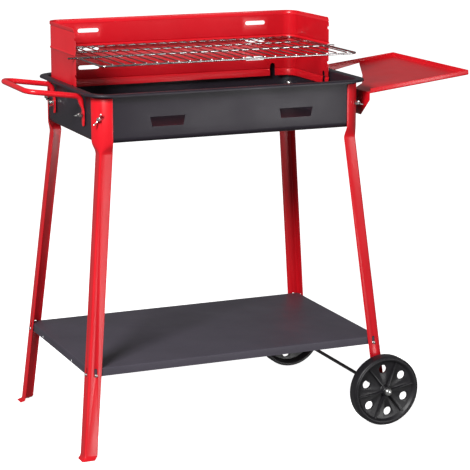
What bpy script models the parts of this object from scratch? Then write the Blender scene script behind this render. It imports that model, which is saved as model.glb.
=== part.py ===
"""Charcoal barbecue trolley: a pressed bowl on four angle legs, with windshield, grate, shelf and tray.

Metres, +Z up, +X towards the side tray, -Y towards the front. The origin is on the ground, under the
middle of the whole object's box. Shapes are laid out from the middle of the bowl, at BOWL_X.
"""

import math

import bmesh
import bpy
from mathutils import Matrix, Vector

BOWL_X = -0.0720
GAP = 0.0003
CUT_DEPTH = 0.012
SHARP_ANGLE = math.radians(35.0)

# Bowl
BOWL_SHEET = 0.0012
BOWL_HALF_X = 0.308
BOWL_HALF_Y = 0.1835
BOWL_CORNER = 0.036
BOWL_BOTTOM_Z = 0.672
BOWL_EDGE = 0.012
RIM_Z = 0.778
RIM_WIDTH = 0.018
RIM_CORNER = 0.052
RIM_LIP = 0.005
RIM_FOLD = 0.003
VENT_X = 0.150
VENT_Z = 0.714
VENT_TOP = 0.080
VENT_BOTTOM = 0.071
VENT_HEIGHT = 0.021

# Legs
LEG_SHEET = 0.0015
LEG_FLANGE = 0.028
LEG_TOP_Z = 0.768
LEG_KINK_Z = 0.648
LEG_KINK = (0.3005, 0.1755)
LEG_FOOT = (0.366, 0.234)
LEG_FOLD = 0.004
LEG_FLARE = 0.008
LEG_FLARE_Z = 0.0065
LEG_TOE_Z = 0.0017
WHEEL_LEG_END_Z = 0.056
BOLT_Z = 0.725

# Lower shelf
SHELF_Z = 0.1957
SHELF_HALF_X = 0.3441
SHELF_HALF_Y = 0.2140
SHELF_FLANGE = 0.018
SHELF_SHEET = 0.001
SHELF_CORNER = 0.006
SHELF_FOLD = 0.002
SPARE_HOLES_Y = (-0.088, 0.120)
SCREW_Z = 0.1815
SCREW_INSET = 0.016
SLOT_Z = 0.1875
SLOT_HEIGHT = 0.018
SLOT_WIDTH = 0.007

# Windshield
SHIELD_SHEET = 0.001
SHIELD_HALF_X = 0.3025
SHIELD_BACK_Y = 0.168
SHIELD_FRONT_Y = -0.030
SHIELD_CORNER = 0.028
SHIELD_TOP_Z = 0.900
SHIELD_LOW_Z = 0.746
SHIELD_HEM = 0.008
SHIELD_HEM_STEP = 0.0015
SHIELD_BEADS_Z = (0.762, 0.842)
SHIELD_BEAD = 0.002
SHIELD_BEAD_HALF = 0.0035
SHIELD_SLOT = (0.050, 0.009)
SHIELD_SLOT_X = 0.206
SHIELD_SLOTS_Z = (0.789, 0.8315, 0.8725)
SHIELD_NOTCH = (0.014, 0.0064)
SHIELD_NOTCHES_Z = (0.797, 0.8365, 0.876)
SHIELD_FOOT_SLOT = (0.060, 0.013)
SHIELD_FOOT_SLOT_X = 0.2514
SHIELD_FOOT_SLOT_Y = -0.006
SHIELD_CLIP = 0.012
HOOK_X = 0.150
HOOK_WIDTH = 0.012
HOOK_SHEET = 0.0015
HOOK_DROP = 0.012
HOOK_REACH = 0.0233

# Cooking grate
GRATE_Z = 0.8365
GRATE_HALF_X = 0.297
GRATE_FRONT_Y = -0.185
GRATE_BACK_Y = 0.160
GRATE_REST_Y = -0.026
GRATE_REST_REACH = 0.318
GRATE_CROSS_Y = 0.070
GRATE_CORNER = 0.015
GRATE_BARS = 23
PRONG_STEP = 0.012
PRONG_END = (0.178, 0.830)
FRAME_WIRE = 0.0022
BAR_WIRE = 0.0014
CROSS_WIRE_DROP = 0.0005

# Side tray
TRAY_NEAR_X = 0.3335
TRAY_NEAR_Z = 0.7445
TRAY_LENGTH = 0.2504
TRAY_TILT = math.radians(6.6)
TRAY_HALF_Y = 0.182
TRAY_EDGE = 0.011
TRAY_SHEET = 0.0012
TRAY_FOLD = 0.0025
TRAY_RELIEF = 0.005
TRAY_CUTOUT = ((0.1555, 0.182), (0.087, 0.030), (0.040, -0.060), (0.0, -0.100))
TRAY_BOLT_Y = 0.095
TRAY_BOLT_Z = 0.722
TRAY_LUG = ((0.182, 0.729), (0.135, 0.691), (0.075, 0.691), (0.075, 0.725), (0.100, 0.7445))

# Side handle
TUBE_RADIUS = 0.006
HANDLE_HALF_Y = 0.100
HANDLE_GRIP = (-0.432, 0.780)
HANDLE_KNEE = (-0.315, 0.7643)
HANDLE_KNEE_BEND = 0.022
HANDLE_TUBE_END_Z = 0.738
HANDLE_FLAT = (0.049, 0.017, 0.004)
HANDLE_FLAT_GAP = 0.0006

# Axle and wheels
AXLE_X = 0.340
AXLE_Z = 0.080
AXLE_RADIUS = 0.004
AXLE_END_Y = 0.2785
WHEEL_RADIUS = 0.080
WHEEL_FACE_Y = 0.2705
WHEEL_WIDTH = 0.030
WHEEL_HUB_OUT = 0.004
WHEEL_HUB_IN = 0.0401
WHEEL_BORE = 0.00408
AXLE_HOLE = 0.0044
WHEEL_SPOKES = 6
WHEEL_HOLE = 0.010
WHEEL_HOLE_RING = 0.0505
WHEEL_DISH = 0.008
WHEEL_TYRE = 0.010
WHEEL_RIB = 0.0026
WHEEL_RIB_START = 0.0085
WHEEL_RIB_RISE = 0.0012
WHEEL_TURN = 8.0
WHEEL_WEB = 0.006
WASHER = (0.0043, 0.008, 0.0012)
WASHER_Y = 0.2285
CAP_Y = 0.2749
CAP_RADIUS = 0.009
CAP_HEIGHT = 0.0096

# Fasteners
M6_RADIUS = 0.003
M6_HOLE = 0.0034
M4_RADIUS = 0.002
M4_HOLE = 0.0024
NUT_BORE = 0.0033
BOLT_HEAD = ((0.0065, 0.0), (0.0060, 0.0012), (0.0045, 0.0027), (0.0022, 0.0036), (0.0, 0.0038))
BOLT_REACH = {"leg": 0.0135, "handle": 0.0165, "tray": 0.0385}
WING_HUB = ((NUT_BORE, 0.0075), (0.0042, 0.0075), (0.0052, 0.0006), (0.0047, 0.0), (NUT_BORE, 0.0))
WING_EAR = (
    (0.0037, 0.0006),
    (0.0085, 0.0018),
    (0.0125, 0.0050),
    (0.0155, 0.0090),
    (0.0160, 0.0122),
    (0.0150, 0.0138),
    (0.0130, 0.0140),
    (0.0105, 0.0120),
    (0.0080, 0.0085),
    (0.0037, 0.0068),
)
WING_SHEET = 0.002
SCREW_HEAD = ((0.0, 0.0024), (0.0018, 0.0024), (0.0031, 0.0019), (0.00375, 0.0009), (0.00375, 0.0))
SCREW_HEAD_GAP = 0.0007
SCREW_REACH = 0.0105
HEX_NUT = (0.00404, 0.0032, 0.0023)
SPACER_RADIUS = 0.005
HALF_ROOT = math.sqrt(0.5)
LEG_NUT_TWIST = {"front_left": 55.0, "front_right": -20.0, "back_left": 35.0, "back_right": 80.0}
HANDLE_NUT_TWIST = {"front": 15.0, "back": -30.0}
TRAY_NUT_TWIST = {"front": 40.0, "back": 70.0}

LEG_SIDES = {
    "front_left": (-1, -1),
    "front_right": (1, -1),
    "back_left": (-1, 1),
    "back_right": (1, 1),
}
ENDS = {"front": -1, "back": 1}


# Scene, materials and objects
def clear_scene():
    for obj in list(bpy.data.objects):
        bpy.data.objects.remove(obj, do_unlink=True)


def make_collection(name, shown=True):
    collection = bpy.data.collections.new(name)
    bpy.context.scene.collection.children.link(collection)
    collection.hide_render = not shown
    return collection


def make_material(name, colour, roughness, metallic):
    material = bpy.data.materials.new(name)
    material.use_nodes = True
    shader = material.node_tree.nodes["Principled BSDF"]
    shader.inputs["Base Color"].default_value = (*colour, 1.0)
    shader.inputs["Roughness"].default_value = roughness
    shader.inputs["Metallic"].default_value = metallic
    return material


clear_scene()
parts = make_collection("barbecue_trolley")
cutters = make_collection("cutters", shown=False)
materials = {
    "red_enamel": make_material("red_enamel", (0.78, 0.028, 0.035), 0.3, 0.0),
    "black_enamel": make_material("black_enamel", (0.045, 0.042, 0.047), 0.4, 0.0),
    "black_plastic": make_material("black_plastic", (0.021, 0.020, 0.022), 0.45, 0.0),
    "zinc": make_material("zinc", (0.62, 0.63, 0.64), 0.35, 1.0),
    "chrome_wire": make_material("chrome_wire", (0.80, 0.80, 0.81), 0.15, 1.0),
}
bowl_middle = bpy.data.objects.new("bowl_middle", None)
bowl_middle.location = (BOWL_X, 0.0, 0.0)
parts.objects.link(bowl_middle)


def add_shape(name, data):
    """A working shape, kept out of the parts until it is finished."""
    obj = bpy.data.objects.new(name, data)
    obj.hide_render = True
    obj.display_type = "WIRE"
    cutters.objects.link(obj)
    return obj


def baked(obj):
    """The object's evaluated shape as a plain mesh. The object itself is removed."""
    bpy.context.view_layer.update()
    evaluated = obj.evaluated_get(bpy.context.evaluated_depsgraph_get())
    mesh = bpy.data.meshes.new_from_object(evaluated)
    bm = bmesh.new()
    bm.from_mesh(mesh)
    bmesh.ops.remove_doubles(bm, verts=bm.verts, dist=0.00001)
    bm.to_mesh(mesh)
    bm.free()
    bpy.data.objects.remove(obj, do_unlink=True)
    return mesh


def finish(name, mesh, material, place=None):
    """A finished part with its material and smooth shading, placed from the bowl's middle."""
    if not mesh.materials:
        mesh.materials.append(materials[material])
    mesh.shade_smooth()
    mesh.set_sharp_from_angle(angle=SHARP_ANGLE)
    obj = bpy.data.objects.new(name, mesh)
    parts.objects.link(obj)
    obj.parent = bowl_middle
    if place is not None:
        obj.matrix_local = place
    return obj


def solidify(obj, thickness):
    """Thickens an open sheet away from its faces' outward side."""
    modifier = obj.modifiers.new("sheet", "SOLIDIFY")
    modifier.thickness = thickness
    modifier.offset = -1.0
    modifier.use_even_offset = True


def boolean(obj, others, operation):
    for other in others:
        modifier = obj.modifiers.new(operation.lower(), "BOOLEAN")
        modifier.operation = operation
        modifier.solver = "EXACT"
        modifier.object = other


def cut(obj, tools):
    """The shape without the tools' volume, as a mesh."""
    boolean(obj, tools, "DIFFERENCE")
    mesh = baked(obj)
    for tool in tools:
        bpy.data.objects.remove(tool, do_unlink=True)
    return mesh


def joined(shapes):
    """Overlapping closed shapes as one closed shape."""
    body = shapes[0]
    boolean(body, shapes[1:], "UNION")
    mesh = baked(body)
    for shape in shapes[1:]:
        bpy.data.objects.remove(shape, do_unlink=True)
    return add_shape("joined", mesh)


# Turns that stand a flat outline (x, y) upright, facing front or facing an end
FACE_FRONT = Matrix.Rotation(math.radians(90.0), 4, "X")
FACE_END = Matrix.Rotation(math.radians(90.0), 4, "Z") @ FACE_FRONT
QUARTER_TURN = Matrix.Rotation(math.radians(90.0), 4, "Z")


# Basic shapes
def mesh_shape(name, build):
    bm = bmesh.new()
    build(bm)
    mesh = bpy.data.meshes.new(name)
    bm.to_mesh(mesh)
    bm.free()
    return add_shape(name, mesh)


def facing(direction):
    """The turn that takes +Z to direction and keeps X level."""
    return Vector(direction).to_track_quat("Z", "Y").to_matrix().to_4x4()


def rod(start, end, radius, sides=12, end_radius=None):
    start = Vector(start)
    run = Vector(end) - start
    place = Matrix.Translation(start + run / 2) @ facing(run)

    def build(bm):
        bmesh.ops.create_cone(
            bm,
            cap_ends=True,
            segments=sides,
            radius1=radius,
            radius2=radius if end_radius is None else end_radius,
            depth=run.length,
            matrix=place,
        )

    return mesh_shape("rod", build)


def hole(place, outward, radius, reach=CUT_DEPTH, sides=12):
    """A drill that goes through a sheet at place."""
    return rod(place - outward * reach, place + outward * reach, radius, sides)


def block(low, high):
    size = Vector(high) - Vector(low)
    middle = (Vector(high) + Vector(low)) / 2
    place = Matrix.Translation(middle) @ Matrix.Diagonal(size).to_4x4()
    return mesh_shape("block", lambda bm: bmesh.ops.create_cube(bm, size=1.0, matrix=place))


def plate(outline, thickness, place):
    """A flat plate cut to outline (x, y), centred on z = 0 and then moved by the matrix place."""
    curve = bpy.data.curves.new("plate", "CURVE")
    curve.dimensions = "2D"
    curve.fill_mode = "BOTH"
    curve.extrude = thickness / 2
    spline = curve.splines.new("POLY")
    spline.points.add(len(outline) - 1)
    for point, (x, y) in zip(spline.points, outline):
        point.co = (x, y, 0.0, 1.0)
    spline.use_cyclic_u = True
    mesh = baked(add_shape("plate", curve))
    mesh.transform(place)
    return add_shape("plate", mesh)


def turned(profile, steps, hollow=False):
    """A turned shape about Z. The profile of (radius, z) runs from top to bottom on its outer side."""
    count = len(profile)
    edges = [(i, i + 1) for i in range(count - 1)]
    if hollow:
        edges.append((count - 1, 0))
    mesh = bpy.data.meshes.new("turned")
    mesh.from_pydata([(radius, 0.0, z) for radius, z in profile], edges, [])
    obj = add_shape("turned", mesh)
    modifier = obj.modifiers.new("turn", "SCREW")
    modifier.axis = "Z"
    modifier.steps = steps
    modifier.render_steps = steps
    modifier.use_merge_vertices = True
    modifier.merge_threshold = 0.00005
    return obj


def tube(points, radius, cyclic=False, resolution=2):
    curve = bpy.data.curves.new("tube", "CURVE")
    curve.dimensions = "3D"
    curve.bevel_depth = radius
    curve.bevel_resolution = resolution
    curve.use_fill_caps = True
    spline = curve.splines.new("POLY")
    spline.points.add(len(points) - 1)
    for point, place in zip(spline.points, points):
        point.co = (*place, 1.0)
    spline.use_cyclic_u = cyclic
    return add_shape("tube", baked(add_shape("tube", curve)))


def sheet(rows, thickness, ring=False, floor=False):
    """Sheet metal whose outer face runs through rows of points, thickened inwards.

    Rows run top to bottom and anticlockwise, or bottom to top and clockwise. A ring closes each row
    on itself, and a floor fills the last one.
    """
    width = len(rows[0])

    def build(bm):
        grid = [[bm.verts.new(point) for point in row] for row in rows]
        for upper, lower in zip(grid, grid[1:]):
            for i in range(width if ring else width - 1):
                j = (i + 1) % width
                bm.faces.new((lower[i], lower[j], upper[j], upper[i]))
        if floor:
            bm.faces.new(grid[-1][::-1])

    obj = mesh_shape("sheet", build)
    solidify(obj, thickness)
    return obj


def arc(centre, radius, start_deg, end_deg, steps):
    """Points (x, y) on an arc, both ends included."""
    points = []
    for i in range(steps + 1):
        angle = math.radians(start_deg + (end_deg - start_deg) * i / steps)
        points.append((centre[0] + radius * math.cos(angle), centre[1] + radius * math.sin(angle)))
    return points


def rounded_loop(half_x, half_y, corner, steps=5):
    """A rectangle with round corners, anticlockwise, as (x, y) points."""
    points = []
    for quarter, (sx, sy) in enumerate(((1, 1), (-1, 1), (-1, -1), (1, -1))):
        centre = (sx * (half_x - corner), sy * (half_y - corner))
        points += arc(centre, corner, 90.0 * quarter, 90.0 * quarter + 90.0, steps)
    return points


def slot_outline(length, width, steps=4):
    """A slot with round ends, long along x."""
    reach = (length - width) / 2
    right_end = arc((reach, 0.0), width / 2, -90.0, 90.0, steps)
    left_end = arc((-reach, 0.0), width / 2, 90.0, 270.0, steps)
    return right_end + left_end


def bent_path(corners, radius, steps=4):
    """A line through corners, with each inner corner rounded."""
    path = [Vector(corners[0])]
    for before, corner, after in zip(corners, corners[1:], corners[2:]):
        corner = Vector(corner)
        back = (Vector(before) - corner).normalized()
        ahead = (Vector(after) - corner).normalized()
        reach = radius / math.tan(back.angle(ahead) / 2)
        start = corner + back * reach
        end = corner + ahead * reach
        for i in range(steps + 1):
            t = i / steps
            path.append(start * (1 - t) ** 2 + corner * 2 * t * (1 - t) + end * t**2)
    path.append(Vector(corners[-1]))
    return path


# Where the bolts go: a point on the wall's outer face, and the outward direction
def leg_bolt(sx, sy):
    middle = Vector((sx * (BOWL_HALF_X - BOWL_CORNER), sy * (BOWL_HALF_Y - BOWL_CORNER), BOLT_Z))
    outward = Vector((sx * HALF_ROOT, sy * HALF_ROOT, 0.0))
    return middle + outward * BOWL_CORNER, outward


def handle_bolt(sy):
    return Vector((-BOWL_HALF_X, sy * HANDLE_HALF_Y, BOLT_Z)), Vector((-1.0, 0.0, 0.0))


def tray_bolt(sy):
    return Vector((BOWL_HALF_X, sy * TRAY_BOLT_Y, TRAY_BOLT_Z)), Vector((1.0, 0.0, 0.0))


def shelf_screws(sx, sy):
    """Each leg has two screws: one through the end flange, one through the front or back flange."""
    x, y = leg_corner(SCREW_Z)
    return {
        "end": (Vector((sx * x, sy * (y - SCREW_INSET), SCREW_Z)), Vector((sx, 0.0, 0.0))),
        "face": (Vector((sx * (x - SCREW_INSET), sy * y, SCREW_Z)), Vector((0.0, sy, 0.0))),
    }


# Bowl
def vent_cutter(x):
    half_height = VENT_HEIGHT / 2
    outline = [
        (x - VENT_BOTTOM / 2, -half_height),
        (x + VENT_BOTTOM / 2, -half_height),
        (x + VENT_TOP / 2, half_height),
        (x - VENT_TOP / 2, half_height),
    ]
    return plate(outline, CUT_DEPTH, Matrix.Translation((0.0, -BOWL_HALF_Y, VENT_Z)) @ FACE_FRONT)


def make_bowl():
    # Insets, heights and corners of the sheet's underside, from the rim's lip to the bottom edge.
    lip = RIM_WIDTH - BOWL_SHEET
    under_rim = RIM_Z - BOWL_SHEET
    levels = [
        (-lip, RIM_Z - RIM_LIP, RIM_CORNER),
        (-lip, under_rim - RIM_FOLD / 2, RIM_CORNER),
        (RIM_FOLD / 2 - lip, under_rim, RIM_CORNER - RIM_FOLD / 2),
        (-RIM_FOLD, under_rim, BOWL_CORNER + RIM_FOLD),
        (0.0, under_rim - RIM_FOLD, BOWL_CORNER),
    ]
    for i in range(4):
        angle = math.radians(90.0 * i / 3)
        inset = BOWL_EDGE * (1 - math.cos(angle))
        levels.append((inset, BOWL_BOTTOM_Z + BOWL_EDGE * (1 - math.sin(angle)), BOWL_CORNER - inset))
    loops = []
    for inset, z, corner in levels:
        outline = rounded_loop(BOWL_HALF_X - inset, BOWL_HALF_Y - inset, corner)
        loops.append([(x, y, z) for x, y in outline])
    bowl = sheet(loops, BOWL_SHEET, ring=True, floor=True)
    bolts = [leg_bolt(*sides) for sides in LEG_SIDES.values()]
    for sy in ENDS.values():
        bolts += [handle_bolt(sy), tray_bolt(sy)]
    tools = [hole(place, outward, M6_HOLE) for place, outward in bolts]
    tools += [vent_cutter(-VENT_X), vent_cutter(VENT_X)]
    return finish("fire_bowl", cut(bowl, tools), "black_enamel")


# Legs
def leg_corner(z):
    """The outer fold of the leg's angle at height z, as positive x and y."""
    t = (LEG_KINK_Z - z) / LEG_KINK_Z
    return tuple(top + (foot - top) * t for top, foot in zip(LEG_KINK, LEG_FOOT))


def strip_section(fold, radius):
    """Points across a strip bent a quarter turn at its middle. Fold is the sharp outer corner."""
    reach = min(LEG_FLANGE * 6 / 7, radius * math.pi / 4)
    bend = math.degrees(reach / radius)
    centre = (fold[0] - radius, fold[1] - radius)
    middle = arc(centre, radius, 45.0 - bend, 45.0 + bend, 6)
    straight = LEG_FLANGE - reach
    turn = math.radians(45.0 - bend)
    first = (middle[0][0] + straight * math.sin(turn), middle[0][1] - straight * math.cos(turn))
    last = (middle[-1][0] - straight * math.cos(turn), middle[-1][1] + straight * math.sin(turn))
    return [first, *middle, last]


def leg_slot(place, outward):
    """The upright slot in a leg's flange, above its shelf screw."""
    turn = FACE_FRONT if outward.y else FACE_END
    centre = Matrix.Translation((place.x, place.y, SLOT_Z))
    return plate(slot_outline(SLOT_HEIGHT, SLOT_WIDTH), CUT_DEPTH, centre @ turn @ QUARTER_TURN)


def make_leg(name, sx, sy):
    outside = GAP + LEG_SHEET
    wrap = (BOWL_HALF_X + outside, BOWL_HALF_Y + outside)
    wheel_leg = sx > 0
    levels = [
        (LEG_TOP_Z, wrap, BOWL_CORNER + outside),
        (BOWL_BOTTOM_Z + 0.004, wrap, BOWL_CORNER + outside),
        (LEG_KINK_Z, LEG_KINK, LEG_FOLD),
    ]
    if wheel_leg:
        levels.append((WHEEL_LEG_END_Z, leg_corner(WHEEL_LEG_END_Z), LEG_FOLD))
    else:
        flared = tuple(value + LEG_FLARE for value in LEG_FOOT)
        levels.append((LEG_FLARE_Z, leg_corner(LEG_FLARE_Z), LEG_FOLD))
        levels.append((LEG_TOE_Z, flared, LEG_FOLD))
    rows = []
    for z, fold, radius in levels:
        row = [(sx * x, sy * y, z) for x, y in strip_section(fold, radius)]
        rows.append(row if sx * sy > 0 else row[::-1])
    leg = sheet(rows, LEG_SHEET)
    tools = [hole(*leg_bolt(sx, sy), M6_HOLE)]
    tools += [leg_slot(*screw) for screw in shelf_screws(sx, sy).values()]
    if wheel_leg:
        place = Vector((AXLE_X, sy * leg_corner(AXLE_Z)[1], AXLE_Z))
        tools.append(hole(place, Vector((0.0, 1.0, 0.0)), AXLE_HOLE, sides=20))
    return finish(f"leg_{name}", cut(leg, tools), "red_enamel")


# Lower shelf
def make_shelf():
    levels = [(0.0, SHELF_Z - SHELF_FLANGE)]
    for i in range(4):
        angle = math.radians(90.0 * i / 3)
        levels.append((SHELF_FOLD * (1 - math.cos(angle)), SHELF_Z - SHELF_FOLD * (1 - math.sin(angle))))
    loops = []
    for inset, z in levels:
        outline = rounded_loop(SHELF_HALF_X - inset, SHELF_HALF_Y - inset, SHELF_CORNER - inset, 3)
        loops.append([(x, y, z) for x, y in outline])
    shelf = sheet([row[::-1] for row in loops], SHELF_SHEET, ring=True, floor=True)
    tools = []
    for sides in LEG_SIDES.values():
        tools += [hole(*screw, M4_HOLE) for screw in shelf_screws(*sides).values()]
    for y in SPARE_HOLES_Y:
        tools.append(hole(Vector((-SHELF_HALF_X, y, SCREW_Z)), Vector((1.0, 0.0, 0.0)), M6_RADIUS))
    return finish("lower_shelf", cut(shelf, tools), "black_enamel")


# Windshield
def shield_path(grow):
    """The windshield's plan from its right front edge round the back, grown outwards."""
    half_x = SHIELD_HALF_X + grow
    back_y = SHIELD_BACK_Y + grow
    corner = SHIELD_CORNER + grow
    right = (half_x - corner, back_y - corner)
    left = (corner - half_x, back_y - corner)
    path = [(half_x, SHIELD_FRONT_Y), *arc(right, corner, 0.0, 90.0, 6)]
    return [*path, *arc(left, corner, 90.0, 180.0, 6), (-half_x, SHIELD_FRONT_Y)]


def shield_levels():
    """Outward steps and heights of the sheet: the hem at the top, then the pressed beads."""
    hem_z = SHIELD_TOP_Z - SHIELD_HEM
    levels = [(SHIELD_HEM_STEP, SHIELD_TOP_Z), (SHIELD_HEM_STEP, hem_z), (0.0, hem_z - SHIELD_HEM_STEP)]
    for z in reversed(SHIELD_BEADS_Z):
        levels += [(0.0, z + SHIELD_BEAD_HALF), (SHIELD_BEAD, z), (0.0, z - SHIELD_BEAD_HALF)]
    return [*levels, (0.0, SHIELD_LOW_Z)]


def shield_cutters():
    cuts = []
    for side in (-1, 1):
        for z in SHIELD_SLOTS_Z:
            cuts.append((SHIELD_SLOT, (side * SHIELD_SLOT_X, SHIELD_BACK_Y, z), FACE_FRONT))
        for z in SHIELD_NOTCHES_Z:
            cuts.append((SHIELD_NOTCH, (side * SHIELD_HALF_X, SHIELD_FRONT_Y, z), FACE_END))
        back_foot = (side * SHIELD_FOOT_SLOT_X, SHIELD_BACK_Y, SHIELD_LOW_Z)
        side_foot = (side * SHIELD_HALF_X, SHIELD_FOOT_SLOT_Y, SHIELD_LOW_Z)
        cuts.append((SHIELD_FOOT_SLOT, back_foot, FACE_FRONT @ QUARTER_TURN))
        cuts.append((SHIELD_FOOT_SLOT, side_foot, FACE_END @ QUARTER_TURN))
    tools = []
    for size, place, turn in cuts:
        tools.append(plate(slot_outline(*size), CUT_DEPTH, Matrix.Translation(place) @ turn))
    before_y = SHIELD_FRONT_Y - SHIELD_CLIP / 3
    above_z = SHIELD_TOP_Z + SHIELD_CLIP / 3
    clip_z = SHIELD_TOP_Z - SHIELD_CLIP
    clip = [(before_y, above_z), (before_y, clip_z), (SHIELD_FRONT_Y, clip_z)]
    clip.append((SHIELD_FRONT_Y + SHIELD_CLIP, above_z))
    for side in (-1, 1):
        side_x = Matrix.Translation((side * SHIELD_HALF_X, 0.0, 0.0))
        tools.append(plate(clip, CUT_DEPTH, side_x @ FACE_END))
    return tools


def shield_hook(side):
    """A strip from the back panel over the bowl's rim and down behind it."""
    near_x = side * HOOK_X - HOOK_WIDTH / 2
    far_x = side * HOOK_X + HOOK_WIDTH / 2
    rim_y = BOWL_HALF_Y + HOOK_REACH
    low = RIM_Z + GAP
    over_low = (near_x, SHIELD_BACK_Y - SHIELD_SHEET / 2, low)
    over = block(over_low, (far_x, rim_y + HOOK_SHEET, low + HOOK_SHEET))
    down = block((near_x, rim_y, low - HOOK_DROP), (far_x, rim_y + HOOK_SHEET, low + HOOK_SHEET))
    return joined([over, down])


def make_windshield():
    rows = [[(x, y, z) for x, y in shield_path(step)] for step, z in shield_levels()]
    shield = add_shape("shield", cut(sheet(rows, SHIELD_SHEET), shield_cutters()))
    return finish("windshield", baked(joined([shield, shield_hook(-1), shield_hook(1)])), "red_enamel")


# Cooking grate
def make_grate():
    middle_y = (GRATE_BACK_Y + GRATE_FRONT_Y) / 2
    outline = rounded_loop(GRATE_HALF_X, (GRATE_BACK_Y - GRATE_FRONT_Y) / 2, GRATE_CORNER, 3)
    wires = [tube([(x, y + middle_y, GRATE_Z) for x, y in outline], FRAME_WIRE, cyclic=True)]
    cross_z = GRATE_Z - CROSS_WIRE_DROP
    for y, reach in ((GRATE_REST_Y, GRATE_REST_REACH), (GRATE_CROSS_Y, GRATE_HALF_X)):
        wires.append(rod((-reach, y, cross_z), (reach, y, cross_z), FRAME_WIRE, 10))
    bar_z = GRATE_Z + FRAME_WIRE + BAR_WIRE / 4
    for i in range(GRATE_BARS):
        x = GRATE_HALF_X * (2 * (i + 1) / (GRATE_BARS + 1) - 1)
        wires.append(rod((x, GRATE_FRONT_Y, bar_z), (x, GRATE_BACK_Y, bar_z), BAR_WIRE, 6))
    for x in (SHIELD_SLOT_X - PRONG_STEP, SHIELD_SLOT_X + PRONG_STEP):
        for side in (-1, 1):
            start = (side * x, GRATE_BACK_Y, GRATE_Z - BAR_WIRE)
            wires.append(rod(start, (side * x, *PRONG_END), BAR_WIRE, 8))
    return finish("cooking_grate", baked(joined(wires)), "chrome_wire")


# Side tray
def tray_point(along, y, up):
    """A point on the tilted tray: along it from its near fold, and up from its floor."""
    x = TRAY_NEAR_X + along * math.cos(TRAY_TILT) - up * math.sin(TRAY_TILT)
    z = TRAY_NEAR_Z + along * math.sin(TRAY_TILT) + up * math.cos(TRAY_TILT)
    return (x, y, z)


def build_tray(bm):
    """The tray's underside: floor, raised edges, the arm at the back and the two lugs."""
    front_y = -TRAY_HALF_Y
    near = bm.verts.new(tray_point(0.0, front_y, 0.0))
    relief = bm.verts.new(tray_point(0.0, front_y + TRAY_RELIEF, 0.0))
    far = bm.verts.new(tray_point(TRAY_LENGTH, front_y, 0.0))
    back = bm.verts.new(tray_point(TRAY_LENGTH, TRAY_HALF_Y, 0.0))
    inner = [bm.verts.new(tray_point(along, y, 0.0)) for along, y in TRAY_CUTOUT]
    near_top = bm.verts.new(tray_point(0.0, front_y, TRAY_EDGE))
    far_top = bm.verts.new(tray_point(TRAY_LENGTH, front_y, TRAY_EDGE))
    back_top = bm.verts.new(tray_point(TRAY_LENGTH, TRAY_HALF_Y, TRAY_EDGE))
    arm_top = bm.verts.new(tray_point(0.0, TRAY_HALF_Y, TRAY_EDGE))
    front_lug = [bm.verts.new((TRAY_NEAR_X, -y, z)) for y, z in TRAY_LUG[:-1]]
    front_lug[0].co.y = relief.co.y
    arm_top.co.x = TRAY_NEAR_X - TRAY_SHEET
    back_lug = [bm.verts.new((arm_top.co.x, y, z)) for y, z in TRAY_LUG]
    bm.faces.new((near, relief, *inner[::-1], back, far))
    bm.faces.new((near, far, far_top, near_top))
    bm.faces.new((far, back, back_top, far_top))
    bm.faces.new((back, inner[0], back_lug[0], arm_top, back_top))
    bm.faces.new((relief, *front_lug, inner[-1]))
    bm.faces.new((arm_top, *back_lug))
    ends = ((near, far), (far, back), (back, inner[0]), (far, far_top), (back, back_top))
    ends += ((relief, inner[-1]), (arm_top, back_lug[0]))
    folds = [bm.edges.get(pair) for pair in ends]
    bmesh.ops.bevel(bm, geom=folds, offset=TRAY_FOLD, segments=3, profile=0.5, affect="EDGES")


def make_tray():
    tray = mesh_shape("tray", build_tray)
    solidify(tray, TRAY_SHEET)
    tools = []
    for sy in ENDS.values():
        place, outward = tray_bolt(sy)
        place.x = TRAY_NEAR_X
        tools.append(hole(place, outward, M6_HOLE))
    return finish("side_tray", cut(tray, tools), "red_enamel")


# Side handle
def make_handle():
    knee_x, knee_z = HANDLE_KNEE
    grip_x, grip_z = HANDLE_GRIP
    length, width, thickness = HANDLE_FLAT
    half = []
    for sy in ENDS.values():
        y = sy * HANDLE_HALF_Y
        arm = [(knee_x, y, HANDLE_TUBE_END_Z), (knee_x, y, knee_z), (grip_x, y, grip_z)]
        half.append(bent_path([*arm, (grip_x, 0.0, grip_z)], HANDLE_KNEE_BEND))
    front, back = half
    shapes = [tube([*front, *back[-2::-1]], TUBE_RADIUS, resolution=3)]
    flat_x = -BOWL_HALF_X - HANDLE_FLAT_GAP - thickness / 2
    tools = []
    for sy in ENDS.values():
        place, outward = handle_bolt(sy)
        middle = Matrix.Translation((flat_x, place.y, place.z))
        shapes.append(plate(slot_outline(length, width), thickness, middle @ FACE_END @ QUARTER_TURN))
        tools.append(hole(place, outward, M6_HOLE))
    return finish("side_handle", cut(joined(shapes), tools), "red_enamel")


# Axle and wheels
def outward_place(point, outward, twist_deg=0.0):
    """Stands a shape built along +Z on a point, pointing outward."""
    return Matrix.Translation(point) @ facing(outward) @ Matrix.Rotation(math.radians(twist_deg), 4, "Z")


def make_axle():
    mesh = baked(rod((0.0, -AXLE_END_Y, 0.0), (0.0, AXLE_END_Y, 0.0), AXLE_RADIUS, 24))
    return finish("axle", mesh, "black_enamel", Matrix.Translation((AXLE_X, 0.0, AXLE_Z)))


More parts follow.
